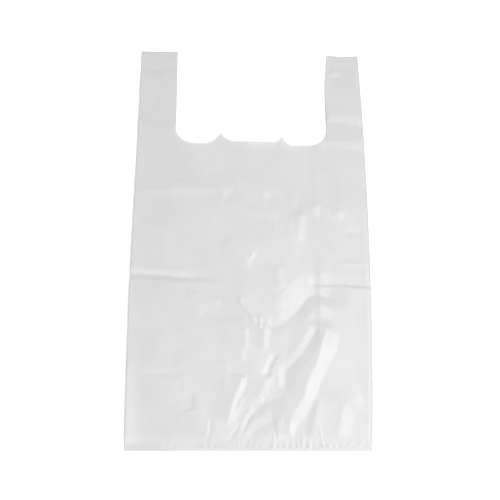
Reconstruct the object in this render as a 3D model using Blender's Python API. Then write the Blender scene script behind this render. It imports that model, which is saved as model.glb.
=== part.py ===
"""Vest-style plastic carrier bag, lying empty and flat on its back panel.

The bag is one piece of thin film: a tube with a gusset folded in down each side, heat
sealed across the bottom and across the top of both handles, and then die cut through
all of its layers for the mouth. Nothing is added to it, so it is one object.

Units are metres. X runs across the bag, +Y from the bottom seal to the handles, and +Z
up from the back panel, which lies on z = 0. The origin is below the middle of the bag.
"""

import math

import bmesh
import bpy

# Bag as it lies flat
WIDTH = 0.300
LENGTH = 0.530
GUSSET_DEPTH = 0.070
HANDLE_WIDTH = 0.050

# Film, and the height from one layer to the next where the bag is slack and where it is sealed
FILM = 0.00002
SLACK_STEP = 0.0012
SEALED_STEP = 0.00006
FOLD_SEGMENTS = 4

# Heat seals, and the length over which the layers close up towards each one
BOTTOM_SEAL = 0.006
HANDLE_SEAL = 0.008
SEAL_RUN = 0.030
SEAL_RUN_STATIONS = 4
SEAL_GRIP = 0.003

# Mouth, die cut between the handles. Heights are measured up from the bottom of the bag.
MOUTH_BASE = 0.396
MOUTH_CORNER_RADIUS = 0.022
PEAK_X = 0.0405
PEAK_HEIGHT = 0.412
PEAK_FLANK = 0.022
TAB_STUB_HALF_WIDTH = 0.022
TAB_STUB_HEIGHT = 0.401
ARC_SEGMENTS = 6
CUTTER_MARGIN = 0.010

BOTTOM_Y = -LENGTH / 2
TOP_Y = LENGTH / 2


def clear_scene():
    """Removes every object that the scene holds."""
    for item in list(bpy.data.objects):
        bpy.data.objects.remove(item, do_unlink=True)


def film_material():
    """Translucent, slightly grey polyethylene film with a soft gloss."""
    material = bpy.data.materials.new("film")
    material.use_nodes = True
    shader = material.node_tree.nodes["Principled BSDF"]
    shader.inputs["Base Color"].default_value = (0.86, 0.86, 0.87, 1.0)
    shader.inputs["Roughness"].default_value = 0.3
    shader.inputs["Metallic"].default_value = 0.0
    shader.inputs["Alpha"].default_value = 0.8
    return material


def add_object(name, mesh):
    """Puts a mesh in the scene as a named object."""
    item = bpy.data.objects.new(name, mesh)
    bpy.context.scene.collection.objects.link(item)
    return item


def add_guide(name, mesh):
    """Adds an object that only shapes another one, and is never part of the bag."""
    guide = add_object(name, mesh)
    guide.hide_render = True
    guide.display_type = 'WIRE'
    return guide


def mesh_from(name, points, faces):
    """A mesh from its points and faces, with every face turned outwards."""
    builder = bmesh.new()
    vertices = [builder.verts.new(point) for point in points]
    for face in faces:
        builder.faces.new([vertices[index] for index in face])
    bmesh.ops.recalc_face_normals(builder, faces=builder.faces)
    mesh = bpy.data.meshes.new(name)
    builder.to_mesh(mesh)
    builder.free()
    return mesh


def tube_section(step):
    """Outer and inner loops of the folded tube, as (x, z) points, for one height between layers.

    The loops run along the back panel, round the right-hand gusset's three folds, back
    along the front panel and round the left-hand gusset's three folds.
    """
    radius = step / 2
    edge_x = WIDTH / 2 - FILM / 2 - radius
    gusset_x = WIDTH / 2 - GUSSET_DEPTH + FILM / 2 + radius
    outer = []
    inner = []
    for side in (1, -1):
        levels = (0, 1, 2) if side > 0 else (2, 1, 0)
        for level in levels:
            turns_in = level == 1
            centre_x = side * (gusset_x if turns_in else edge_x)
            centre_z = FILM / 2 + radius + level * step
            bulge = math.pi if turns_in == (side > 0) else 0.0
            sweep = -1 if turns_in else 1
            for index in range(FOLD_SEGMENTS + 1):
                angle = bulge + sweep * math.pi * (index / FOLD_SEGMENTS - 0.5)
                for loop, away in ((outer, sweep), (inner, -sweep)):
                    reach = radius + away * FILM / 2
                    loop.append((
                        centre_x + reach * math.cos(angle),
                        centre_z + reach * math.sin(angle),
                    ))
    return outer, inner


def tube_stations():
    """(y, height between layers) at each place along the tube where the slack changes."""
    opening = []
    for index in range(SEAL_RUN_STATIONS + 1):
        share = index / SEAL_RUN_STATIONS
        swell = math.sin(share * math.pi / 2) ** 2
        opening.append((share * SEAL_RUN, SEALED_STEP + swell * (SLACK_STEP - SEALED_STEP)))
    seal_end = BOTTOM_Y + BOTTOM_SEAL
    seal_start = TOP_Y - HANDLE_SEAL
    stations = [(seal_end - SEAL_GRIP, SEALED_STEP)]
    stations += [(seal_end + away, step) for away, step in opening]
    stations += [(seal_start - away, step) for away, step in reversed(opening)]
    stations.append((seal_start + SEAL_GRIP, SEALED_STEP))
    return stations


def film_tube():
    """The gusseted tube as a closed wall of film, open at neither end."""
    points = []
    faces = []
    for y, step in tube_stations():
        for loop in tube_section(step):
            points += [(x, y, z) for x, z in loop]
    count = len(tube_section(SLACK_STEP)[0])
    last = len(tube_stations()) - 1
    for station in range(last):
        for loop in (0, 1):
            near = (2 * station + loop) * count
            far = near + 2 * count
            for index in range(count):
                following = (index + 1) % count
                faces.append((near + index, near + following, far + following, far + index))
    for start in (0, 2 * last * count):
        for index in range(count):
            following = (index + 1) % count
            faces.append((
                start + index,
                start + following,
                start + count + following,
                start + count + index,
            ))
    return mesh_from("film_tube", points, faces)


def heat_seals():
    """The two strips, one at each end of the tube, where all the layers are fused."""
    thickness = 3 * SEALED_STEP + FILM
    points = []
    faces = []
    for low_y, high_y in ((BOTTOM_Y, BOTTOM_Y + BOTTOM_SEAL), (TOP_Y - HANDLE_SEAL, TOP_Y)):
        start = len(points)
        for z in (0.0, thickness):
            points += [
                (-WIDTH / 2, low_y, z),
                (WIDTH / 2, low_y, z),
                (WIDTH / 2, high_y, z),
                (-WIDTH / 2, high_y, z),
            ]
        faces.append(tuple(start + index for index in (0, 1, 2, 3)))
        faces.append(tuple(start + index for index in (4, 5, 6, 7)))
        for index in range(4):
            following = (index + 1) % 4
            faces.append((
                start + index,
                start + following,
                start + 4 + following,
                start + 4 + index,
            ))
    return mesh_from("heat_seals", points, faces)


def arc(centre, radius, start, end):
    """Points along an arc, with its angles in radians and both of its ends."""
    points = []
    for index in range(ARC_SEGMENTS + 1):
        angle = start + (end - start) * index / ARC_SEGMENTS
        points.append((centre[0] + radius * math.cos(angle), centre[1] + radius * math.sin(angle)))
    return points


def peak_flank(level, run, side):
    """Arc that leaves a level stretch of the cut smoothly and climbs to a peak.

    level is the height of the stretch above the bottom of the bag, run is how far the
    arc reaches sideways, and side is +1 where it lies to the right of the peak.
    """
    rise = PEAK_HEIGHT - level
    radius = (run ** 2 + rise ** 2) / (2 * rise)
    centre = (PEAK_X + side * run, BOTTOM_Y + level + radius)
    lowest = -math.pi / 2
    return arc(centre, radius, lowest, lowest - side * math.acos(1 - rise / radius))


def mouth_outline():
    """The die's outline: down one handle, round the mouth over both peaks, and up the other."""
    half_width = WIDTH / 2 - HANDLE_WIDTH
    corner = (half_width - MOUTH_CORNER_RADIUS, BOTTOM_Y + MOUTH_BASE + MOUTH_CORNER_RADIUS)
    right = peak_flank(TAB_STUB_HEIGHT, PEAK_X - TAB_STUB_HALF_WIDTH, -1)
    right += reversed(peak_flank(MOUTH_BASE, PEAK_FLANK, 1)[:-1])
    right += arc(corner, MOUTH_CORNER_RADIUS, -math.pi / 2, 0.0)
    right.append((half_width, TOP_Y + CUTTER_MARGIN))
    left = [(-x, y) for x, y in reversed(right)]
    return left + right


def mouth_cutter():
    """The die as a solid that passes through every layer."""
    outline = mouth_outline()
    count = len(outline)
    low = -CUTTER_MARGIN
    high = 3 * SLACK_STEP + CUTTER_MARGIN
    points = [(x, y, z) for z in (low, high) for x, y in outline]
    faces = [tuple(range(count)), tuple(range(count, 2 * count))]
    for index in range(count):
        following = (index + 1) % count
        faces.append((index, following, count + following, count + index))
    return mesh_from("mouth_die", points, faces)


def build_bag():
    """The bag: the film tube with its seals joined on and its mouth cut out."""
    bag = add_object("bag", film_tube())
    bag.data.materials.append(film_material())
    steps = (
        ("seals", 'UNION', add_guide("seals_guide", heat_seals())),
        ("mouth", 'DIFFERENCE', add_guide("mouth_guide", mouth_cutter())),
    )
    for name, operation, guide in steps:
        modifier = bag.modifiers.new(name, 'BOOLEAN')
        modifier.operation = operation
        modifier.solver = 'EXACT'
        modifier.object = guide
    return bag


clear_scene()
build_bag()
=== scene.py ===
"""Vest-style plastic carrier bag: an empty, creased bag of thin film on a studio floor.

The film is made as the real thing is: one tube with a gusset folded in down each side,
sealed across the bottom and across the handles' tops, and die cut for the mouth. It is
then given its creases, its gathers along the seals and its slightly uneven outline.

Lengths are in metres, apart from the creases, which are in millimetres: across from the
middle of the bag, and up from its bottom edge.
"""

import math
from typing import NamedTuple

import bmesh
import bpy
import numpy as np
from bpy.props import FloatProperty, FloatVectorProperty, IntProperty, PointerProperty
from mathutils import Matrix, Vector


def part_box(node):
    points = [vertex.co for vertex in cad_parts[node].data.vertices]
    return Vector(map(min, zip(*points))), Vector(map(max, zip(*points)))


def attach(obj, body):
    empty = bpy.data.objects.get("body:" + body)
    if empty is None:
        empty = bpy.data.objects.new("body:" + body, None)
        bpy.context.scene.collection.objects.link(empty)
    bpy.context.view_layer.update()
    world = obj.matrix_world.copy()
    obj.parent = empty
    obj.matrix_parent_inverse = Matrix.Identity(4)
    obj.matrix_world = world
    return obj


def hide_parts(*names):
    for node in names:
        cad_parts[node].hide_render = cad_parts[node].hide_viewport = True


bl_info = {
    "name": "Vest Carrier Bag",
    "version": (1, 0, 0),
    "blender": (4, 5, 0),
    "location": "3D View > Sidebar > Carrier Bag",
    "description": "Builds an empty vest-style carrier bag of creased film, and a stage for it",
    "category": "Add Mesh",
}

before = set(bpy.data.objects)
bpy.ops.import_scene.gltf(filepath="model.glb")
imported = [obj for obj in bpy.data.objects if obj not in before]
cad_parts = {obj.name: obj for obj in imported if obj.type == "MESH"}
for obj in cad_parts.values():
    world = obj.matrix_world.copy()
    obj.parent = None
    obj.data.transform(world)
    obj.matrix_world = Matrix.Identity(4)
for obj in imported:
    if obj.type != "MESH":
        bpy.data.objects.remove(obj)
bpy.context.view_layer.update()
BAG_LOW, BAG_HIGH = (Vector(corner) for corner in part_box("bag"))
MM = 0.001


# ---------------------------------------------------------------------------
# Settings
# ---------------------------------------------------------------------------


class BagSizes(bpy.types.PropertyGroup):
    """Sizes of the bag as it lies flat"""

    width: FloatProperty(
        name="Width",
        description="Width with the gussets folded in",
        default=BAG_HIGH.x - BAG_LOW.x,
        unit="LENGTH",
    )
    length: FloatProperty(
        name="Length",
        description="Length from the bottom edge to the handles' tops",
        default=BAG_HIGH.y - BAG_LOW.y,
        unit="LENGTH",
    )
    gusset: FloatProperty(
        name="Gusset depth",
        description="How far each side gusset is folded in",
        default=0.070,
        unit="LENGTH",
    )
    handle: FloatProperty(
        name="Handle width", description="Width of each handle", default=0.050, unit="LENGTH"
    )
    mouth_base: FloatProperty(
        name="Mouth base",
        description="Height of the mouth's lowest edge above the bottom of the bag",
        default=0.396,
        unit="LENGTH",
    )
    corner_radius: FloatProperty(
        name="Corner radius",
        description="Radius between the mouth and each handle",
        default=0.022,
        unit="LENGTH",
    )
    peak_across: FloatProperty(
        name="Peak place",
        description="Distance of each torn tab peak from the middle",
        default=0.0405,
        unit="LENGTH",
    )
    peak_height: FloatProperty(
        name="Peak height",
        description="Height of the torn tab peaks above the bottom of the bag",
        default=0.412,
        unit="LENGTH",
    )
    stub_half_width: FloatProperty(
        name="Stub half width",
        description="Half the width of the level edge between the peaks",
        default=0.022,
        unit="LENGTH",
    )
    stub_height: FloatProperty(
        name="Stub height",
        description="Height of the level edge between the peaks",
        default=0.401,
        unit="LENGTH",
    )
    bottom_seal: FloatProperty(
        name="Bottom seal",
        description="Distance of the heat seal from the bottom edge",
        default=0.005,
        unit="LENGTH",
    )
    handle_seal: FloatProperty(
        name="Handle seal",
        description="Distance of the heat seals from the handles' tops",
        default=0.008,
        unit="LENGTH",
    )


class FilmRelief(bpy.types.PropertyGroup):
    """How the film lies"""

    slack: FloatProperty(
        name="Slack",
        description="Height of the front panel where the bag is loosest",
        default=0.0042,
        unit="LENGTH",
        precision=4,
    )
    creases: FloatProperty(
        name="Creases", description="Strength of the creases", default=1.0, min=0.0
    )
    gathers: IntProperty(
        name="Gathers", description="Small puckers along the bottom seal", default=36, min=0
    )
    crinkles: IntProperty(
        name="Crinkles", description="Small creases scattered over the film", default=120, min=0
    )
    seed: IntProperty(name="Seed", description="Seed of everything scattered", default=11)
    fine_cell: FloatProperty(
        name="Fine cell",
        description="Size of the film's faces where the creases are closest",
        default=0.00135,
        unit="LENGTH",
        precision=5,
    )
    wide_cell: FloatProperty(
        name="Wide cell",
        description="Size of the front panel's faces elsewhere",
        default=0.0021,
        unit="LENGTH",
        precision=5,
    )
    hidden_cell: FloatProperty(
        name="Hidden cell",
        description="Size of the faces of the back panel and the gussets",
        default=0.007,
        unit="LENGTH",
        precision=5,
    )


class FilmFinish(bpy.types.PropertyGroup):
    """Look of the film"""

    colour: FloatVectorProperty(
        name="Colour",
        description="Colour of the film",
        subtype="COLOR",
        size=3,
        min=0.0,
        max=1.0,
        default=(0.615, 0.615, 0.62),
    )
    opacity: FloatProperty(
        name="Opacity",
        description="Share of the light that one layer stops",
        subtype="FACTOR",
        min=0.0,
        max=1.0,
        default=0.73,
    )
    # Depth of the deeper grey at the fused cut and sealed edges, and of the painted shade along the
    # side folds
    edge_grey_and_fold_shade: FloatProperty(
        name="Edge depth",
        description="How much deeper the grey of the cut, sealed and folded edges is",
        subtype="FACTOR",
        min=0.0,
        max=1.0,
        default=0.25,
    )
    roughness: FloatProperty(
        name="Roughness",
        description="Roughness of the film's surface",
        subtype="FACTOR",
        min=0.0,
        max=1.0,
        default=0.37,
    )


class StudioStage(bpy.types.PropertyGroup):
    """Camera, floor and lights"""

    lens: FloatProperty(
        name="Lens", description="Focal length", default=70.0, unit="CAMERA"
    )
    tilt: FloatProperty(
        name="Tilt",
        description="Camera's angle from straight down",
        default=math.radians(17.0),
        subtype="ANGLE",
    )
    distance: FloatProperty(
        name="Distance",
        description="From the camera to the point that it looks at",
        default=1.245,
        unit="LENGTH",
    )
    aim_across: FloatProperty(
        name="Aim across", description="Aim point on the floor, across", default=0.0017, unit="LENGTH"
    )
    aim_along: FloatProperty(
        name="Aim along", description="Aim point on the floor, along", default=-0.012, unit="LENGTH"
    )
    sky: FloatProperty(
        name="Sky", description="Strength of the even light all round", default=0.62, min=0.0
    )
    key: FloatProperty(
        name="Key light", description="Power of the large soft light", default=31.0, unit="POWER"
    )
    key_place: FloatVectorProperty(
        name="Key light's place",
        description="Centre of the large soft light",
        default=(0.92, -0.15, 1.90),
        subtype="XYZ",
        unit="LENGTH",
    )
    key_size: FloatVectorProperty(
        name="Key light's size",
        description="Width and length of the large soft light",
        default=(0.6, 1.6),
        size=2,
        unit="LENGTH",
    )
    key_turn: FloatProperty(
        name="Key light's turn",
        description="Direction of its width, from across the bag",
        default=math.radians(27.0),
        subtype="ANGLE",
    )
    fill: FloatProperty(
        name="Fill light", description="Power of the soft light in front", default=14.0, unit="POWER"
    )
    fill_place: FloatVectorProperty(
        name="Fill light's place",
        description="Centre of the soft light in front",
        default=(-0.10, -0.90, 1.90),
        subtype="XYZ",
        unit="LENGTH",
    )
    floor_colour: FloatVectorProperty(
        name="Floor colour",
        description="Colour of the floor",
        subtype="COLOR",
        size=3,
        min=0.0,
        max=1.0,
        default=(0.96, 0.96, 0.96),
    )


# ---------------------------------------------------------------------------
# Helpers
# ---------------------------------------------------------------------------


def link_object(name, data):
    """Adds an object to the scene's own collection."""
    item = bpy.data.objects.new(name, data)
    bpy.context.scene.collection.objects.link(item)
    return item


def add_node(tree, kind, inputs=(), **settings):
    """Adds a node, sets its properties, and sets or links its inputs, given as (key, value) pairs."""
    node = tree.nodes.new(kind)
    for name, value in settings.items():
        setattr(node, name, value)
    for key, value in inputs:
        if isinstance(value, bpy.types.NodeSocket):
            tree.links.new(value, node.inputs[key])
        else:
            node.inputs[key].default_value = value
    return node


def maths(tree, operation, first, second=0.0):
    """Output of a Math node."""
    node = add_node(tree, "ShaderNodeMath", ((0, first), (1, second)), operation=operation)
    return node.outputs[0]


def smooth_step(share):
    """0 to 1 with level ends, for numbers or arrays."""
    held = np.clip(share, 0.0, 1.0)
    return held * held * (3.0 - 2.0 * held)


def smooth_table(places, values, at):
    """Values read smoothly from a short table, by a cubic through its points."""
    places = np.array(places, float)
    values = np.array(values, float)
    slopes = np.gradient(values, places)
    index = np.clip(np.searchsorted(places, at) - 1, 0, len(places) - 2)
    span = places[index + 1] - places[index]
    share = np.clip((at - places[index]) / span, 0.0, 1.0)
    start = (1 + 2 * share) * (1 - share) ** 2 * values[index]
    end = share ** 2 * (3 - 2 * share) * values[index + 1]
    leave = share * (1 - share) ** 2 * span * slopes[index]
    arrive = share ** 2 * (share - 1) * span * slopes[index + 1]
    return start + end + leave + arrive


def bake_nodes(item, tree, inputs):
    """Runs a node tree on an object with named inputs, and leaves the result as its plain mesh."""
    modifier = item.modifiers.new(tree.name, "NODES")
    modifier.node_group = tree
    for socket in tree.interface.items_tree:
        if socket.item_type == "SOCKET" and socket.in_out == "INPUT" and socket.name in inputs:
            modifier[socket.identifier] = inputs[socket.name]
    evaluated = item.evaluated_get(bpy.context.evaluated_depsgraph_get())
    mesh = bpy.data.meshes.new_from_object(evaluated)
    item.modifiers.remove(modifier)
    item.data = mesh
    return mesh


def new_tree(name, inputs):
    """A Geometry Nodes tree with a geometry input and output, and more inputs by name and kind."""
    tree = bpy.data.node_groups.new(name, "GeometryNodeTree")
    tree.interface.new_socket("Geometry", in_out="INPUT", socket_type="NodeSocketGeometry")
    tree.interface.new_socket("Geometry", in_out="OUTPUT", socket_type="NodeSocketGeometry")
    for title, kind in inputs:
        tree.interface.new_socket(title, in_out="INPUT", socket_type=kind)
    return tree


def finish_tree(tree, geometry, material):
    """Ends a tree in Realize Instances and Set Material."""
    realized = add_node(tree, "GeometryNodeRealizeInstances", (("Geometry", geometry),))
    painted = add_node(
        tree,
        "GeometryNodeSetMaterial",
        (("Geometry", realized.outputs[0]), ("Material", material)),
    )
    add_node(tree, "NodeGroupOutput", (("Geometry", painted.outputs[0]),))


# ---------------------------------------------------------------------------
# Materials
# ---------------------------------------------------------------------------


# Grey of the denser fused film at cut and sealed edges, also used as painted shade along the side
# folds
EDGE_GREY_AND_FOLD_SHADE = (0.30, 0.30, 0.31, 1.0)
HAZE_RANGE = (0.3, 0.7)


def film_material(finish):
    """Translucent grey-white film with haze, draw lines and fine crinkling; a deeper grey at its
    fused edges and painted shade along its side folds.
    """
    material = bpy.data.materials.new("carrier_film")
    material.use_nodes = True
    tree = material.node_tree
    shader = tree.nodes["Principled BSDF"]
    place = add_node(tree, "ShaderNodeTexCoord").outputs["Object"]

    haze = add_node(
        tree, "ShaderNodeTexNoise", (("Vector", place), ("Scale", 24.0), ("Detail", 5.0))
    )
    tint = add_node(tree, "ShaderNodeValToRGB", (("Fac", haze.outputs["Fac"]),))
    low, high = tint.color_ramp.elements
    low.position, high.position = HAZE_RANGE
    low.color = (*(0.975 * level for level in finish.colour), 1.0)
    high.color = (*(min(1.0, 1.02 * level) for level in finish.colour), 1.0)
    # This attribute mixes in the fused edges' deeper grey, and painted shade at the side folds
    fused_and_fold_shade = add_node(tree, "ShaderNodeAttribute", attribute_name="fused_and_fold_shade")
    edged_and_fold_shaded = add_node(
        tree,
        "ShaderNodeMix",
        (
            (0, maths(tree, "MULTIPLY", fused_and_fold_shade.outputs["Fac"], finish.edge_grey_and_fold_shade)),
            (6, tint.outputs["Color"]),
            (7, EDGE_GREY_AND_FOLD_SHADE),
        ),
        data_type="RGBA",
    )
    tree.links.new(edged_and_fold_shaded.outputs[2], shader.inputs["Base Color"])

    lengthwise = add_node(
        tree, "ShaderNodeMapping", (("Vector", place), ("Scale", (420.0, 7.0, 1.0)))
    )
    draw_lines = add_node(
        tree,
        "ShaderNodeTexNoise",
        (("Vector", lengthwise.outputs[0]), ("Scale", 1.0), ("Detail", 3.0)),
    )
    crinkle = add_node(
        tree, "ShaderNodeTexNoise", (("Vector", place), ("Scale", 210.0), ("Detail", 6.0))
    )
    surface = maths(
        tree,
        "ADD",
        maths(tree, "MULTIPLY", draw_lines.outputs["Fac"], 0.35),
        crinkle.outputs["Fac"],
    )
    bump = add_node(
        tree,
        "ShaderNodeBump",
        (("Height", surface), ("Strength", 0.35), ("Distance", 0.0004)),
    )
    tree.links.new(bump.outputs["Normal"], shader.inputs["Normal"])

    gloss = add_node(
        tree,
        "ShaderNodeMapRange",
        (
            ("Value", haze.outputs["Fac"]),
            ("From Min", HAZE_RANGE[0]),
            ("From Max", HAZE_RANGE[1]),
            ("To Min", finish.roughness - 0.05),
            ("To Max", finish.roughness + 0.05),
        ),
    )
    tree.links.new(gloss.outputs["Result"], shader.inputs["Roughness"])
    shader.inputs["IOR"].default_value = 1.54
    shader.inputs["Specular IOR Level"].default_value = 0.55
    shader.inputs["Alpha"].default_value = finish.opacity
    return material


def floor_material(colour):
    """Plain pale floor with the faintest unevenness in its finish."""
    material = bpy.data.materials.new("studio_floor")
    material.use_nodes = True
    tree = material.node_tree
    shader = tree.nodes["Principled BSDF"]
    place = add_node(tree, "ShaderNodeTexCoord").outputs["Object"]
    grain = add_node(tree, "ShaderNodeTexNoise", (("Vector", place), ("Scale", 60.0)))
    roughness = add_node(
        tree,
        "ShaderNodeMapRange",
        (("Value", grain.outputs["Fac"]), ("To Min", 0.85), ("To Max", 0.95)),
    )
    tree.links.new(roughness.outputs["Result"], shader.inputs["Roughness"])
    shader.inputs["Base Color"].default_value = (*colour, 1.0)
    shader.inputs["Specular IOR Level"].default_value = 0.0
    return material


# ---------------------------------------------------------------------------
# Film tube
# ---------------------------------------------------------------------------

# Height between layers before the film is shaped, and how many such steps the gussets make
LAYER_STEP = 0.0012
LAYERS = 3
FOLD_STEPS = 4
# Strip beside each side fold whose faces are narrow, so that its shading stays crisp
HEM = 0.0012
# Where the creases are closest: across the bag, and up to this far from its bottom edge
BUSY_ACROSS = (-0.060, 0.112)
BUSY_ALONG = 0.215


def spaced(start, end, cell):
    """Even points from start up to but not including end, about a cell apart."""
    count = max(1, round(abs(end - start) / cell))
    return [start + (end - start) * index / count for index in range(count)]


def fold_points(centre, level, bulge):
    """Points round one fold, from one layer up to the next, or down if bulge is to the left."""
    points = []
    for index in range(FOLD_STEPS):
        angle = math.pi * (index / FOLD_STEPS - 0.5)
        points.append((
            centre + bulge * LAYER_STEP / 2 * math.cos(angle),
            (level + 0.5 + math.sin(angle) / 2) * LAYER_STEP,
        ))
    return points


def tube_section(sizes, relief):
    """Closed section of the folded tube as (x, z) points, with z a layer step for each layer."""
    edge = sizes.width / 2 - LAYER_STEP / 2
    pleat = sizes.width / 2 - sizes.gusset + LAYER_STEP / 2
    top = LAYERS * LAYER_STEP
    right = [(x, 0.0) for x in spaced(0.0, edge, relief.hidden_cell)]
    right += fold_points(edge, 0, 1)
    right += [(x, LAYER_STEP) for x in spaced(edge, pleat, relief.hidden_cell)]
    right += fold_points(pleat, 1, -1)
    right += [(x, 2 * LAYER_STEP) for x in spaced(pleat, edge, relief.hidden_cell)]
    right += fold_points(edge, 2, 1)
    left_side = [(-x, z) for x, z in reversed(right[1:])]
    low, high = BUSY_ACROSS
    hem = edge - HEM
    front = [(x, top) for x in spaced(edge, hem, HEM / 3)]
    front += [(x, top) for x in spaced(hem, high, relief.wide_cell)]
    front += [(x, top) for x in spaced(high, low, relief.fine_cell)]
    front += [(x, top) for x in spaced(low, -hem, relief.wide_cell)]
    front += [(x, top) for x in spaced(-hem, -edge, HEM / 3)]
    front.append((-edge, top))
    return right + front + left_side


def tube_stations(sizes, relief):
    """Places along the bag, closer together where the creases are closest."""
    base = BAG_LOW.y
    stations = spaced(base, base + BUSY_ALONG, relief.fine_cell)
    stations += spaced(base + BUSY_ALONG, base + sizes.length, relief.wide_cell)
    return [*stations, base + sizes.length]


def line_mesh(name, points, closed):
    """A mesh of one line of points and its edges."""
    count = len(points)
    edges = [(index, index + 1) for index in range(count - 1)]
    if closed:
        edges.append((count - 1, 0))
    mesh = bpy.data.meshes.new(name)
    mesh.from_pydata(points, edges, [])
    return mesh


def tube_tree():
    """Node tree that sweeps the section along the stations into one closed tube of film."""
    tree = new_tree(
        "folded_film_tube",
        (
            ("Stations", "NodeSocketObject"),
            ("Join Distance", "NodeSocketFloat"),
            ("Film", "NodeSocketMaterial"),
        ),
    )
    given = add_node(tree, "NodeGroupInput")
    section = given.outputs["Geometry"]
    stations = add_node(
        tree, "GeometryNodeObjectInfo", (("Object", given.outputs["Stations"]),)
    ).outputs["Geometry"]
    around, along = (
        add_node(
            tree, "GeometryNodeAttributeDomainSize", (("Geometry", line),), component="MESH"
        ).outputs["Point Count"]
        for line in (section, stations)
    )
    steps_along = maths(tree, "SUBTRACT", along, 1.0)
    grid = add_node(
        tree,
        "GeometryNodeMeshGrid",
        (
            ("Size X", around),
            ("Size Y", steps_along),
            ("Vertices X", maths(tree, "ADD", around, 1.0)),
            ("Vertices Y", along),
        ),
    )
    position = add_node(tree, "GeometryNodeInputPosition").outputs[0]
    cell = add_node(tree, "ShaderNodeSeparateXYZ", (("Vector", position),))
    samples = []
    for line, axis, count in ((section, "X", around), (stations, "Y", steps_along)):
        number = maths(
            tree,
            "ROUND",
            maths(tree, "ADD", cell.outputs[axis], maths(tree, "MULTIPLY", count, 0.5)),
        )
        if line is section:
            number = maths(tree, "MODULO", number, around)
        sample = add_node(
            tree,
            "GeometryNodeSampleIndex",
            (("Geometry", line), ("Value", position), ("Index", number)),
            data_type="FLOAT_VECTOR",
            domain="POINT",
        )
        samples.append(add_node(tree, "ShaderNodeSeparateXYZ", (("Vector", sample.outputs[0]),)))
    place = add_node(
        tree,
        "ShaderNodeCombineXYZ",
        (
            ("X", samples[0].outputs["X"]),
            ("Y", samples[1].outputs["Y"]),
            ("Z", samples[0].outputs["Z"]),
        ),
    )
    moved = add_node(
        tree,
        "GeometryNodeSetPosition",
        (("Geometry", grid.outputs["Mesh"]), ("Position", place.outputs[0])),
    )
    joined = add_node(
        tree,
        "GeometryNodeMergeByDistance",
        (("Geometry", moved.outputs[0]), ("Distance", given.outputs["Join Distance"])),
    )
    finish_tree(tree, joined.outputs[0], given.outputs["Film"])
    return tree


def film_tube(sizes, relief, material):
    """The folded tube of film, before its mouth is cut and its creases are made."""
    section = [(x, 0.0, z) for x, z in tube_section(sizes, relief)]
    stations = [(0.0, y, 0.0) for y in tube_stations(sizes, relief)]
    bag = link_object("carrier_bag", line_mesh("tube_section", section, True))
    guide = link_object("tube_stations", line_mesh("tube_stations", stations, False))
    bake_nodes(
        bag,
        tube_tree(),
        {"Stations": guide, "Join Distance": 1e-6, "Film": material},
    )
    bpy.data.objects.remove(guide, do_unlink=True)
    return bag


# ---------------------------------------------------------------------------
# Mouth
# ---------------------------------------------------------------------------

ARC_STEPS = 9


def arc(centre, radius, start, end):
    """Points along an arc, with both of its ends."""
    turns = [start + (end - start) * index / ARC_STEPS for index in range(ARC_STEPS + 1)]
    return [
        (centre[0] + radius * math.cos(turn), centre[1] + radius * math.sin(turn))
        for turn in turns
    ]


def peak_flank(sizes, level, run, side):
    """Arc that leaves a level edge and climbs to a peak. side is +1 to the peak's right."""
    rise = sizes.peak_height - level
    radius = (run ** 2 + rise ** 2) / (2 * rise)
    centre = (sizes.peak_across + side * run, BAG_LOW.y + level + radius)
    lowest = -math.pi / 2
    return arc(centre, radius, lowest, lowest - side * math.acos(1 - rise / radius))


def mouth_outline(sizes):
    """The die's outline: down one handle, round the mouth over both peaks, and up the other."""
    half = sizes.width / 2 - sizes.handle
    corner = (half - sizes.corner_radius, BAG_LOW.y + sizes.mouth_base + sizes.corner_radius)
    inner_run = sizes.peak_across - sizes.stub_half_width
    right = peak_flank(sizes, sizes.stub_height, inner_run, -1)
    right += reversed(peak_flank(sizes, sizes.mouth_base, sizes.stub_half_width, 1)[:-1])
    right += arc(corner, sizes.corner_radius, -math.pi / 2, 0.0)
    right.append((half, BAG_HIGH.y + sizes.handle_seal))
    left = [(-x, y) for x, y in reversed(right)]
    return np.array(left + right)


def inside(points, outline):
    """True for each point that lies within a closed outline."""
    within = np.zeros(len(points), bool)
    for (x0, y0), (x1, y1) in zip(outline, np.roll(outline, -1, axis=0)):
        spans = (y0 > points[:, 1]) != (y1 > points[:, 1])
        crossing = (x1 - x0) * (points[:, 1] - y0) / (y1 - y0 + 1e-15) + x0
        within ^= spans & (points[:, 0] < crossing)
    return within


def cut_mouth(mesh, sizes, reach):
    """Cuts every layer along the die's outline and removes what lies inside it."""
    outline = mouth_outline(sizes)
    shape = bmesh.new()
    shape.from_mesh(mesh)
    lowest = outline[:, 1].min() - reach
    working = {face for face in shape.faces if face.calc_center_median().y > lowest}
    for start, end in zip(outline, np.roll(outline, -1, axis=0)):
        low = np.minimum(start, end) - reach / 4
        high = np.maximum(start, end) + reach / 4
        near = []
        for face in working:
            xs = [corner.co.x for corner in face.verts]
            ys = [corner.co.y for corner in face.verts]
            if min(xs) < high[0] and max(xs) > low[0] and min(ys) < high[1] and max(ys) > low[1]:
                near.append(face)
        if not near:
            continue
        edges = {edge for face in near for edge in face.edges}
        corners = {corner for face in near for corner in face.verts}
        across = end - start
        cut = bmesh.ops.bisect_plane(
            shape,
            geom=[*near, *edges, *corners],
            dist=1e-7,
            plane_co=(start[0], start[1], 0.0),
            plane_no=(-across[1], across[0], 0.0),
        )
        working = {face for face in working if face.is_valid}
        working |= {item for item in cut["geom"] if isinstance(item, bmesh.types.BMFace)}
    faces = list(shape.faces)
    centres = np.array([face.calc_center_median()[:2] for face in faces])
    gone = [face for face, drop in zip(faces, inside(centres, outline)) if drop]
    bmesh.ops.delete(shape, geom=gone, context="FACES")
    bmesh.ops.triangulate(shape, faces=[face for face in shape.faces if len(face.verts) > 4])
    shape.to_mesh(mesh)
    shape.free()


# ---------------------------------------------------------------------------
# Creases
# ---------------------------------------------------------------------------


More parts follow.
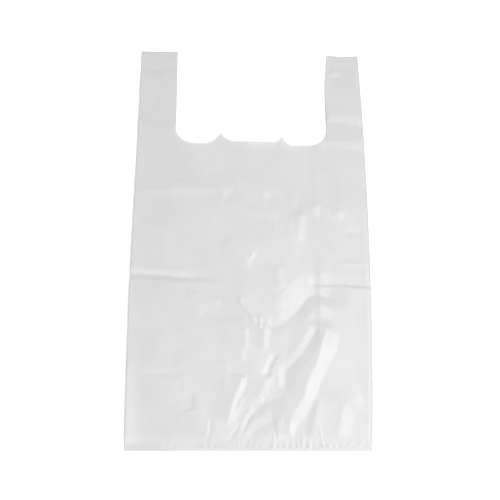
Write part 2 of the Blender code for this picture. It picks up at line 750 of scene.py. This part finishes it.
class Crease(NamedTuple):
    """A ridge in the film, or a valley if its height is negative, in millimetres.

    Left and right are the widths of its flanks, as one walks along it. Fade is the share of
    its path over which it starts and ends. Swell widens and heightens it at even steps along
    its path. Bend hollows its flanks, and crest is the radius along its top.
    """

    path: tuple
    height: float
    left: float
    right: float
    fade: tuple = (0.2, 0.2)
    swell: tuple = (1.0, 1.0)
    bend: float = 1.15
    crest: float = 0.6


class Facet(NamedTuple):
    """A flat patch that tips about its hinge, with a soft edge, in millimetres."""

    corners: tuple
    hinge: tuple
    slope: tuple
    edge: float = 1.8


# Where the bag was folded up for storage, and its bottom seal's ridge
STORAGE_FOLDS = (
    Crease(((87.5, 246), (87, 200), (86.5, 150), (85, 104)), 0.6, 14, 5, fade=(0.15, 0.3)),
    Crease(
        ((-158, 217), (-118, 215.5), (-97, 214), (-80, 213), (-55, 213), (-26, 212)),
        -2.3, 8, 7, fade=(0.01, 0.5),
    ),
    Crease(((-104, 206.5), (-82, 207), (-62, 206), (-29, 203.5)), 0.5, 5, 4.5, fade=(0.2, 0.3)),
    Crease(((72, 207.8), (88, 206.3), (116, 206), (158, 204)), -1.2, 11, 3.5, fade=(0.1, 0.01)),
    Crease(((-140, 329), (-121, 328.5), (-105, 331.5), (-92, 332)), 0.75, 5, 7, fade=(0.1, 0.3)),
    Crease(
        ((-112, 329), (-85, 331), (-62, 331), (-46, 333), (-37, 329.5), (-30, 319)),
        1.5, 16, 9, fade=(0.2, 0.15),
    ),
    Crease(((-112, 336.5), (-97, 339), (-83, 341)), 0.35, 5, 3),
    Crease(((-133, 93), (-112, 92.5), (-95, 93), (-78, 92.5)), -0.5, 6, 6),
    Crease(
        ((-158, 501.5), (-124, 501.5), (-107, 502.5), (-94, 503)),
        -0.75, 9, 5, fade=(0.01, 0.3),
    ),
    Crease(((-126, 526), (-103, 526)), -0.45, 4, 3),
    Crease(((-160, 4), (160, 4)), 0.5, 16, 3, fade=(0.01, 0.01)),
)

# Long streaks that run up from the bottom seal
STREAKS = (
    Crease(
        (
            (98, 164), (95, 150), (90, 134), (85.5, 119), (81, 106), (76, 95), (71.5, 84),
            (69, 74), (66, 64), (61, 56), (57, 48), (52.5, 40), (50, 32), (49.3, 24),
            (49.3, 10),
        ),
        2.9,
        14,
        34,
        fade=(0.1, 0.06),
        swell=(0.4, 1.1, 1.25, 1.1, 1.0, 1.0, 1.0, 0.9, 0.55, 0.35),
        bend=1.0,
    ),
    Crease(
        ((77, 8), (78, 25), (80, 38), (82.5, 50), (83, 62), (84, 69)),
        1.2, 8, 26, fade=(0.15, 0.3),
    ),
    Crease(
        ((103, 3), (108, 18), (111, 34), (113, 47), (118, 57), (128, 60), (141, 65)),
        1.0, 22, 16, fade=(0.2, 0.2), swell=(1.0, 1.0), bend=1.4,
    ),
    Crease(
        (
            (83, 170), (82, 155), (79.5, 143), (74, 134), (69, 125), (64, 117), (57, 110),
            (50, 102), (45, 96), (44, 86), (44, 74), (43.5, 64),
        ),
        -1.6, 12, 9, fade=(0.25, 0.15),
    ),
    Crease(
        ((2, 45), (10, 49), (15, 54), (20, 58), (27, 60.5), (36, 61.5), (44, 66)),
        -1.1, 12, 9, fade=(0.15, 0.15),
    ),
    Crease(
        ((-3, 17), (3, 20), (9, 24), (17, 30), (25, 34.5), (34, 36)),
        -0.95, 10, 12, fade=(0.2, 0.15),
    ),
    Crease(((35.5, 6), (36, 24), (35, 40)), 0.6, 3, 9),
    Crease(
        (
            (-8.5, 91), (-11, 80), (-14.5, 72), (-18, 64), (-20.5, 55), (-22.5, 45),
            (-25.5, 34), (-27, 28),
        ),
        2.1, 6.5, 22, fade=(0.05, 0.1), swell=(0.95, 1.0, 1.0, 1.0, 0.8), bend=1.0, crest=0.4,
    ),
    Crease(((-8, 67), (-11.5, 57), (-15, 48), (-19, 38), (-22, 29)), 0.6, 5, 2.5, fade=(0.2, 0.2)),
    Crease(((8, 57), (14, 70), (19, 82), (23, 93)), 0.9, 24, 8),
    Crease(((-9, 90.3), (13, 90.3)), 0.35, 4, 2.2, fade=(0.1, 0.2)),
    Crease(((33, 119), (28, 109), (24.5, 101), (22, 93), (21, 86)), -1.4, 4, 6.5),
    Crease(((7, 48), (2, 40), (-1, 35), (-4, 28), (-8, 21)), -1.1, 3.5, 4.5),
    Crease(((-9, 34), (-14, 26), (-19, 17), (-25, 7)), -0.75, 2.5, 4),
    Crease(((0, 53), (-6, 48), (-10.5, 43)), -0.35, 2, 2),
    Crease(((-46, 39), (-46, 28), (-47, 20), (-50, 13), (-53, 8)), -0.68, 2.5, 2.5),
)

# Every other crease of the front panel, and those of the handles
FOLDS = (
    Crease(((20.5, 157), (17.5, 144), (16.5, 132), (17, 119)), 0.8, 7.5, 9),
    Crease(
        ((-5.5, 151), (-5.5, 136), (-6, 126), (-9, 119), (-9, 104)),
        0.5, 4, 10, fade=(0.1, 0.2),
    ),
    Crease(((12, 166), (12.3, 158), (12, 148)), 0.7, 4, 4),
    Crease(((-15.5, 191), (-11, 181), (-6, 175), (-1, 169), (4, 162), (9, 155)), 1.0, 4.5, 4),
    Crease(((-14, 190), (-8, 187), (-2, 183)), 0.5, 5, 5),
    Crease(((22, 151), (34, 153), (43, 156.5), (52, 165)), -1.2, 12, 10, fade=(0.15, 0.3)),
    Crease(
        (
            (44, 157), (49.5, 163), (57, 170), (64, 178), (70, 187), (78, 191.5), (90, 192),
            (101, 188), (110, 183), (120, 177),
        ),
        -2.9, 28, 13, fade=(0.2, 0.3),
    ),
    Crease(((-66, 169), (-44, 165.5), (-24, 163.5), (-6, 164)), -0.75, 15, 10),
    Crease(((-82, 194), (-66, 190), (-50, 185), (-34, 179)), 0.77, 6, 12),
    Crease(((-64, 61), (-58, 52), (-53, 45)), 0.25, 3, 4),
    Crease(((-30, 114), (-29, 90), (-30, 66)), 0.45, 9, 14),
    Crease(((-118, 96), (-112, 125), (-108, 152)), 0.9, 20, 26, fade=(0.3, 0.3)),
    Crease(((15.5, 64), (15.5, 55)), 0.3, 1.6, 1.6),
    Crease(((22.5, 72), (20, 66)), 0.3, 1.6, 1.6),
    Crease(((29, 72), (29, 65)), 0.3, 1.6, 1.6),
    Crease(((36, 90), (36, 76)), 0.3, 1.8, 2.5),
    Crease(((39.5, 46), (39.5, 31)), 0.3, 1.8, 2.5),
    Crease(
        ((-49, 351), (-36, 345.5), (-28, 340), (-20, 334.5), (-12, 327), (-4, 321), (5, 314)),
        0.9, 12, 3.5, fade=(0.25, 0.25),
    ),
    Crease(
        ((-32, 318), (-18, 309), (-6, 305), (8, 301), (17, 298), (24, 294.5), (36, 290)),
        1.2, 20, 9,
    ),
    Crease(((14, 321.5), (36, 320.5), (44, 316), (51, 309.5), (69, 307)), -1.2, 12, 17),
    Crease(((63.5, 301), (62, 285), (60, 262)), 1.2, 8, 18, fade=(0.08, 0.2)),
    Crease(((69, 299), (80, 308), (90, 312), (97, 306.5), (110, 303.5), (123, 301)), 1.3, 22, 14),
    Crease(((103, 299.5), (118, 299.5)), 0.3, 5, 5),
    Crease(((121, 276), (131, 275), (143, 275)), -0.45, 4, 6),
    Crease(((112, 232), (130, 232.5), (144, 231.5)), 0.4, 7, 3),
    Crease(((38, 232), (35, 220), (36, 210), (40, 199)), 0.8, 9, 18),
    Crease(((25, 285), (38, 284.5), (55, 284)), 0.7, 10, 11),
    Crease(((-0.5, 238), (2, 244), (5, 250)), 0.5, 2.5, 2.5),
    Crease(((-34, 264), (-16, 248), (4, 234)), 1.2, 20, 16),
    Crease(((-71, 253), (-55, 253)), -0.35, 3, 4),
    Crease(
        ((-158, 424), (-138, 418), (-128, 414), (-112, 413), (-97, 414)),
        1.5, 16, 17, fade=(0.02, 0.05),
    ),
    Crease(
        ((80, 393), (93, 400), (103, 402.5), (128, 402), (160, 399)),
        1.2, 18, 12, fade=(0.15, 0.02),
    ),
    Crease(((102, 441), (120, 441.5), (136, 440), (160, 435)), 1.0, 20, 13, fade=(0.02, 0.02)),
    Crease(((102, 429), (128, 427.5), (160, 423)), -0.7, 10, 14, fade=(0.02, 0.02)),
    Crease(((106, 504), (122, 503), (134, 500), (158, 491)), 0.77, 8, 8, fade=(0.05, 0.05)),
    Crease(((105, 496.5), (124, 496.5)), -0.56, 4, 8, fade=(0.05, 0.3)),
)

# Flat patch between creases at the lower left
FACETS = (
    Facet(
        (
            (-98, 74), (-94, 83), (-82, 83), (-82, 75), (-79, 71), (-68, 65.5),
            (-67, 51), (-72, 49.5), (-80, 46), (-89, 52), (-99, 57), (-101, 63),
        ),
        hinge=(-98, 66),
        slope=(-0.035, 0.015),
    ),
)

# Where puckers of the bottom seal start, across, then how far they lean and rise
PUCKERS = (
    (-96, 2, 15),
    (-63, 3, 7),
    (-38, 1, 6),
    (-27, 4, 9),
    (-11, -2, 20),
    (-7, -1, 16),
    (0, 4, 15),
    (30, 1, 25),
    (36, 3, 9),
    (40, -4, 8),
    (45, 0.5, 20),
    (52, 1, 14),
    (60, -1, 8),
    (65, 2, 22),
    (74, -1, 17),
    (80, 1, 7),
    (91, -6, 28),
    (90, 0, 9),
    (99, 0, 8),
    (105, 1, 10),
    (111, 5, 12),
    (121, 7, 20),
    (133, 7, 16),
    (142, 3, 9),
)


def smooth_path(path):
    """The path with more points, on a smooth curve through its own."""
    points = np.array(path, float)
    if len(points) < 3:
        return points
    ends = np.vstack((2 * points[0] - points[1], points, 2 * points[-1] - points[-2]))
    parts = []
    for index in range(len(points) - 1):
        before, start, end, after = ends[index : index + 4]
        for share in np.linspace(0.0, 1.0, 4)[:-1]:
            parts.append(
                0.5
                * (
                    2 * start
                    + (end - before) * share
                    + (2 * before - 5 * start + 4 * end - after) * share ** 2
                    + (3 * start - before - 3 * end + after) * share ** 3
                )
            )
    return np.vstack((*parts, points[-1]))


def crease_relief(points, crease):
    """Height that one crease adds at each point, in millimetres."""
    path = smooth_path(crease.path)
    reach = max(crease.left, crease.right) * max(crease.swell)
    low = path.min(axis=0) - reach
    high = path.max(axis=0) + reach
    near = np.flatnonzero(((points > low) & (points < high)).all(axis=1))
    spot = points[near]
    steps = np.diff(path, axis=0)
    lengths = np.linalg.norm(steps, axis=1)
    travelled = np.concatenate(([0.0], np.cumsum(lengths)))
    best = np.full(len(spot), np.inf)
    width = np.full(len(spot), 1.0)
    share = np.zeros(len(spot))
    for start, step, length, before in zip(path, steps, lengths, travelled):
        offset = spot - start
        along = np.clip(offset @ step / length ** 2, 0.0, 1.0)
        away = np.linalg.norm(offset - along[:, None] * step, axis=1)
        closer = away < best
        leftward = step[0] * offset[:, 1] - step[1] * offset[:, 0] > 0
        best = np.where(closer, away, best)
        width = np.where(closer, np.where(leftward, crease.left, crease.right), width)
        share = np.where(closer, (before + along * length) / travelled[-1], share)
    swell = np.interp(share, np.linspace(0.0, 1.0, len(crease.swell)), crease.swell)
    rounded = np.sqrt(best ** 2 + crease.crest ** 2) - crease.crest
    flank = np.clip(1.0 - rounded / (width * swell), 0.0, 1.0) ** crease.bend
    fade_in = smooth_step(share / crease.fade[0])
    fade_out = smooth_step((1.0 - share) / crease.fade[1])
    relief = np.zeros(len(points))
    relief[near] = crease.height * swell * flank * fade_in * fade_out
    return relief


def facet_relief(points, facet):
    """Height that one facet adds at each point, in millimetres."""
    corners = np.array(facet.corners, float)
    away = np.full(len(points), np.inf)
    for start, end in zip(corners, np.roll(corners, -1, axis=0)):
        step = end - start
        offset = points - start
        along = np.clip(offset @ step / (step @ step), 0.0, 1.0)
        away = np.minimum(away, np.linalg.norm(offset - along[:, None] * step, axis=1))
    depth = np.where(inside(points, corners), away, -away)
    tip = (points - np.array(facet.hinge)) @ np.array(facet.slope)
    return tip * smooth_step(0.5 + depth / (2 * facet.edge))


def scattered_crinkles(relief):
    """Small creases all over the film, closer together towards the bottom."""
    random = np.random.default_rng(relief.seed)
    crinkles = []
    for _ in range(relief.crinkles):
        middle = np.array((random.uniform(-148, 148), 525 * random.random() ** 1.25))
        turn = random.uniform(0, math.pi)
        half = random.uniform(5, 26) * np.array((math.cos(turn), math.sin(turn)))
        height = random.choice((-1, 1)) * random.uniform(0.03, 0.16)
        crinkles.append(
            Crease(
                (tuple(middle - half), tuple(middle + half)),
                height,
                random.uniform(3, 9),
                random.uniform(3, 9),
                (0.4, 0.4),
            )
        )
    return crinkles


def seal_gathers(relief):
    """Puckers that run up from the bottom seal: the large ones, and more scattered between."""
    random = np.random.default_rng(relief.seed + 1)
    starts = list(PUCKERS)
    for _ in range(relief.gathers):
        rise = random.uniform(4, 10)
        across = 148 - 215 * random.random() ** 1.2
        starts.append((across, random.uniform(-0.3, 0.3) * rise, rise))
    gathers = []
    for across, lean, rise in starts:
        gathers.append(
            Crease(
                ((across, 1.5), (across + lean, 1.5 + rise)),
                random.uniform(0.3, 0.45) * (0.6 + rise / 20),
                random.uniform(1.3, 2.2),
                random.uniform(1.3, 2.2),
                (0.1, 0.5),
                crest=0.4,
            )
        )
    return gathers


SWELLS = 14
SWELL_HEIGHT = 0.1


def undulation(points, seed):
    """Slow swells of the slack film, in millimetres."""
    random = np.random.default_rng(seed + 2)
    swell = np.zeros(len(points))
    for _ in range(SWELLS):
        wave = 2 * math.pi / random.uniform(50, 170)
        turn = random.uniform(0, math.pi)
        phase = random.uniform(0, 2 * math.pi)
        travel = points @ (wave * np.array((math.cos(turn), math.sin(turn))))
        swell += SWELL_HEIGHT * np.sin(travel + phase)
    return swell


# Up from the bottom edge, then the share of the slack that the film has there
SLACK = ((0, 30, 150, 300, 420, 530), (0.15, 0.32, 1.0, 1.0, 0.75, 0.4))
# Distance from each side edge, then the height that its fold adds there, in millimetres
LEFT_ROLL = ((0, 1.5, 4, 9, 16, 28), (1.8, 1.9, 1.6, 0.85, 0.2, 0.0))
RIGHT_ROLL = ((0, 1.8, 4.5, 9, 20), (0.4, 0.1, 0.35, 0.2, 0.0))
# Height that the front panel gains where it passes over each gusset's inner fold
LEFT_PLEAT = 0.12
RIGHT_PLEAT = 0.06
# Least height of the front panel, and how gently the film comes down to it
LEAST_HEIGHT = 0.12
LANDING = 0.3
# Small ridge along each handle's seal: its height, place below the top and width
SEAL_RIDGE = (0.25, 3.0, 1.6)


def film_height(points, sizes, relief):
    """Height of the front panel above the floor at (across, up) points, in millimetres."""
    across, up = points.T
    length = sizes.length / MM
    half = sizes.width / 2 / MM
    height = relief.slack / MM * smooth_table(*SLACK, up) + undulation(points, relief.seed)
    pleat = half - sizes.gusset / MM
    height += LEFT_PLEAT * smooth_step((-across - pleat + 1.0) / 2.5)
    height += RIGHT_PLEAT * smooth_step((across - pleat + 2.0) / 7.0)
    for crease in (*STORAGE_FOLDS, *STREAKS, *FOLDS, *scattered_crinkles(relief)):
        height += relief.creases * crease_relief(points, crease)
    for facet in FACETS:
        height += relief.creases * facet_relief(points, facet)
    left_roll = smooth_table(*LEFT_ROLL, half + across)
    height += left_roll * (1.0 - 0.6 * smooth_step((up - 90.0) / 40.0))
    height += smooth_table(*RIGHT_ROLL, half - across)
    height *= 0.2 + 0.8 * smooth_step((up - sizes.bottom_seal / MM) / 16.0)
    height *= 0.3 + 0.7 * smooth_step((length - up) / 12.0)
    ridge, below_top, ridge_width = SEAL_RIDGE
    height += ridge * np.exp(-(((length - below_top - up) / ridge_width) ** 2))
    for gather in seal_gathers(relief):
        height += crease_relief(points, gather)
    return LEAST_HEIGHT + LANDING * np.logaddexp(0.0, (height - LEAST_HEIGHT) / LANDING)


# ---------------------------------------------------------------------------
# Outline
# ---------------------------------------------------------------------------

# Up from the bottom edge, then the left and right edges, in millimetres
EDGE_UP = (0, 60, 120, 190, 260, 330, 400, 460, 530)
LEFT_EDGE = (-150.4, -150.6, -150.6, -150.6, -149.5, -148.3, -147.0, -146.3, -146.0)
RIGHT_EDGE = (149.2, 151.6, 153.3, 154.2, 154.4, 153.9, 152.5, 150.7, 148.0)
# Up from the bottom edge, then how far the right handle's inner edge leans outwards
LEAN_UP = (370, 415, 450, 475, 493, 505, 530)
LEAN = (0.0, 1.5, 1.5, 1.8, 3.0, 4.4, 6.8)
# How much longer than its cut length the bag lies, and how much longer its left side is
STRETCH = 2.9
SKEW = 3.7
# How far each panel's edge sags at the right of the mouth
FRONT_SAG = 10.5
BACK_SAG = 2.5
# How far the middle of the right handle's top dips
TOP_DIP = 1.6


def lie_of(points, frontness, sizes):
    """Where each (across, up) point of the flat cut lies, in millimetres."""
    across, up = points.T
    half = sizes.width / 2 / MM
    left = smooth_table(EDGE_UP, LEFT_EDGE, up)
    right = smooth_table(EDGE_UP, RIGHT_EDGE, up)
    moved = left + (right - left) * (across + half) / (2 * half)
    lean = smooth_table(LEAN_UP, LEAN, up) * smooth_step(across / 60.0)
    moved += lean * np.clip((half - across) / (sizes.handle / MM), 0.0, 1.0)
    risen = up + (STRETCH - SKEW * across / half) * smooth_step(up / 420.0)
    mouth = smooth_step((up - 330.0) / 70.0)
    front = FRONT_SAG * smooth_step((across + 35.0) / 50.0) * smooth_step((68.0 - across) / 24.0)
    back = BACK_SAG * smooth_step((across - 18.0) / 20.0) * smooth_step((66.0 - across) / 20.0)
    risen -= mouth * (frontness * front + (1.0 - frontness) * back)
    from_right_handle = (across - half + sizes.handle / 2 / MM) / (sizes.handle / 2 / MM)
    dip = np.clip(1.0 - from_right_handle ** 2, 0.0, 1.0) * smooth_step((up - 500.0) / 30.0)
    return np.column_stack((moved, risen - TOP_DIP * dip))


# Height of each layer, from the back panel up, as a share of the front panel's
LAYER_SHARES = (0.05, 0.48, 0.62, 1.0)


def shape_film(mesh, sizes, relief):
    """Moves the flat layers to where the film lies, with its creases."""
    count = len(mesh.vertices)
    flat = np.zeros(count * 3)
    mesh.vertices.foreach_get("co", flat)
    flat = flat.reshape(-1, 3)
    points = np.column_stack((flat[:, 0], flat[:, 1] - BAG_LOW.y)) / MM
    level = flat[:, 2] / LAYER_STEP
    lie = lie_of(points, smooth_step((level - 2.0) / 1.0), sizes)
    height = film_height(points, sizes, relief)
    share = np.interp(level, range(LAYERS + 1), LAYER_SHARES)
    placed = np.column_stack((lie[:, 0] * MM, lie[:, 1] * MM + BAG_LOW.y, share * height * MM))
    mesh.vertices.foreach_set("co", placed.ravel())
    mesh.update()


# How strongly the painted shade along a side fold is marked, beside 1 for the deeper grey of a fused
# cut or sealed edge
FOLD_SHADE = 0.6


def mark_fused_edges_and_fold_shade(mesh, sizes):
    """Marks the film's cut and sealed edges for the deeper grey of fused film, and more weakly its
    side folds for painted shade, for its material.
    """
    shape = bmesh.new()
    shape.from_mesh(mesh)
    fused_and_fold_shade = np.array([1.0 if corner.is_boundary else 0.0 for corner in shape.verts])
    # Side folds get painted shade, weaker than the fused edges' grey
    edge = sizes.width / 2 - LAYER_STEP
    for index, corner in enumerate(shape.verts):
        if abs(corner.co.x) > edge:
            fused_and_fold_shade[index] = max(fused_and_fold_shade[index], FOLD_SHADE)
    shape.free()
    layer = mesh.attributes.new("fused_and_fold_shade", "FLOAT", "POINT")
    layer.data.foreach_set("value", fused_and_fold_shade.astype(np.float32))


# ---------------------------------------------------------------------------
# Operators
# ---------------------------------------------------------------------------


def face_outwards(mesh):
    """Turns the film's faces so that the front panel's look up."""
    top = max(mesh.polygons, key=lambda face: face.center.z)
    if top.normal.z < 0:
        mesh.flip_normals()


class CARRIERBAG_OT_film(bpy.types.Operator):
    """Builds the bag's film: the folded tube, its cut mouth and its creases"""

    bl_idname = "carrierbag.build_film"
    bl_label = "Build film"

    def execute(self, context):
        scene = context.scene
        sizes = scene.bag_sizes
        relief = scene.bag_relief
        bag = film_tube(sizes, relief, film_material(scene.bag_finish))
        cut_mouth(bag.data, sizes, relief.hidden_cell)
        face_outwards(bag.data)
        mark_fused_edges_and_fold_shade(bag.data, sizes)
        shape_film(bag.data, sizes, relief)
        bag.data.shade_smooth()
        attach(bag, "root")
        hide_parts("bag")
        return {"FINISHED"}


class CARRIERBAG_OT_stage(bpy.types.Operator):
    """Sets the camera, the floor and the soft studio light"""

    bl_idname = "carrierbag.build_stage"
    bl_label = "Build stage"

    def execute(self, context):
        scene = context.scene
        stage = scene.bag_stage
        build_camera(scene, stage)
        build_floor(stage)
        build_lights(scene, stage)
        return {"FINISHED"}


def build_camera(scene, stage):
    """Camera above the bag, leaning back from straight down."""
    data = bpy.data.cameras.new("bag_camera")
    data.lens = stage.lens
    camera = link_object("bag_camera", data)
    lean = Vector((0.0, -math.sin(stage.tilt), math.cos(stage.tilt)))
    camera.location = Vector((stage.aim_across, stage.aim_along, 0.0)) + stage.distance * lean
    camera.rotation_euler = (stage.tilt, 0.0, 0.0)
    scene.camera = camera


FLOOR_REACH = 3.0
FLOOR_GAP = 0.0002


def build_floor(stage):
    """Plain pale floor under the bag."""
    mesh = bpy.data.meshes.new("floor")
    turns = ((-1, -1), (1, -1), (1, 1), (-1, 1))
    corners = [(x * FLOOR_REACH, y * FLOOR_REACH, -FLOOR_GAP) for x, y in turns]
    mesh.from_pydata(corners, [], [(0, 1, 2, 3)])
    floor = link_object("floor", mesh)
    floor.data.materials.append(floor_material(stage.floor_colour))


def soft_light(name, power, size, place):
    """A rectangular area light."""
    data = bpy.data.lights.new(name, "AREA")
    data.shape = "RECTANGLE"
    data.size, data.size_y = size
    data.energy = power
    light = link_object(name, data)
    light.location = place
    return light


FILL_SIZE = (0.8, 0.8)


def build_lights(scene, stage):
    """Even light all round, a long soft light on the right and a weaker one in front."""
    world = bpy.data.worlds.new("studio")
    world.use_nodes = True
    sky = world.node_tree.nodes["Background"]
    sky.inputs["Color"].default_value = (1.0, 1.0, 1.0, 1.0)
    sky.inputs["Strength"].default_value = stage.sky
    scene.world = world
    key = soft_light("key", stage.key, stage.key_size, stage.key_place)
    back = key.location.normalized()
    side = Vector((math.cos(stage.key_turn), math.sin(stage.key_turn), 0.0))
    up = back.cross(side).normalized()
    key.rotation_euler = Matrix((up.cross(back), up, back)).transposed().to_euler()
    fill = soft_light("fill", stage.fill, FILL_SIZE, stage.fill_place)
    fill.rotation_euler = fill.location.to_track_quat("Z", "Y").to_euler()
    scene.view_settings.view_transform = "Standard"


class CARRIERBAG_PT_panel(bpy.types.Panel):
    """Lists the bag's builders"""

    bl_idname = "CARRIERBAG_PT_panel"
    bl_label = "Carrier Bag"
    bl_space_type = "VIEW_3D"
    bl_region_type = "UI"
    bl_category = "Carrier Bag"

    def draw(self, context):
        column = self.layout.column()
        for operator in OPERATORS:
            column.operator(operator.bl_idname)


PROPERTIES = {
    "bag_sizes": BagSizes,
    "bag_relief": FilmRelief,
    "bag_finish": FilmFinish,
    "bag_stage": StudioStage,
}
OPERATORS = (CARRIERBAG_OT_film, CARRIERBAG_OT_stage)


def register():
    """Registers the settings, the operators and the panel."""
    for name, group in PROPERTIES.items():
        bpy.utils.register_class(group)
        setattr(bpy.types.Scene, name, PointerProperty(type=group))
    for part in (*OPERATORS, CARRIERBAG_PT_panel):
        bpy.utils.register_class(part)


def unregister():
    """Removes what register added."""
    for part in (CARRIERBAG_PT_panel, *reversed(OPERATORS)):
        bpy.utils.unregister_class(part)
    for name, group in reversed(PROPERTIES.items()):
        delattr(bpy.types.Scene, name)
        bpy.utils.unregister_class(group)


def main():
    """Builds the whole scene."""
    register()
    bpy.ops.carrierbag.build_film()
    bpy.ops.carrierbag.build_stage()


if __name__ == "__main__":
    main()
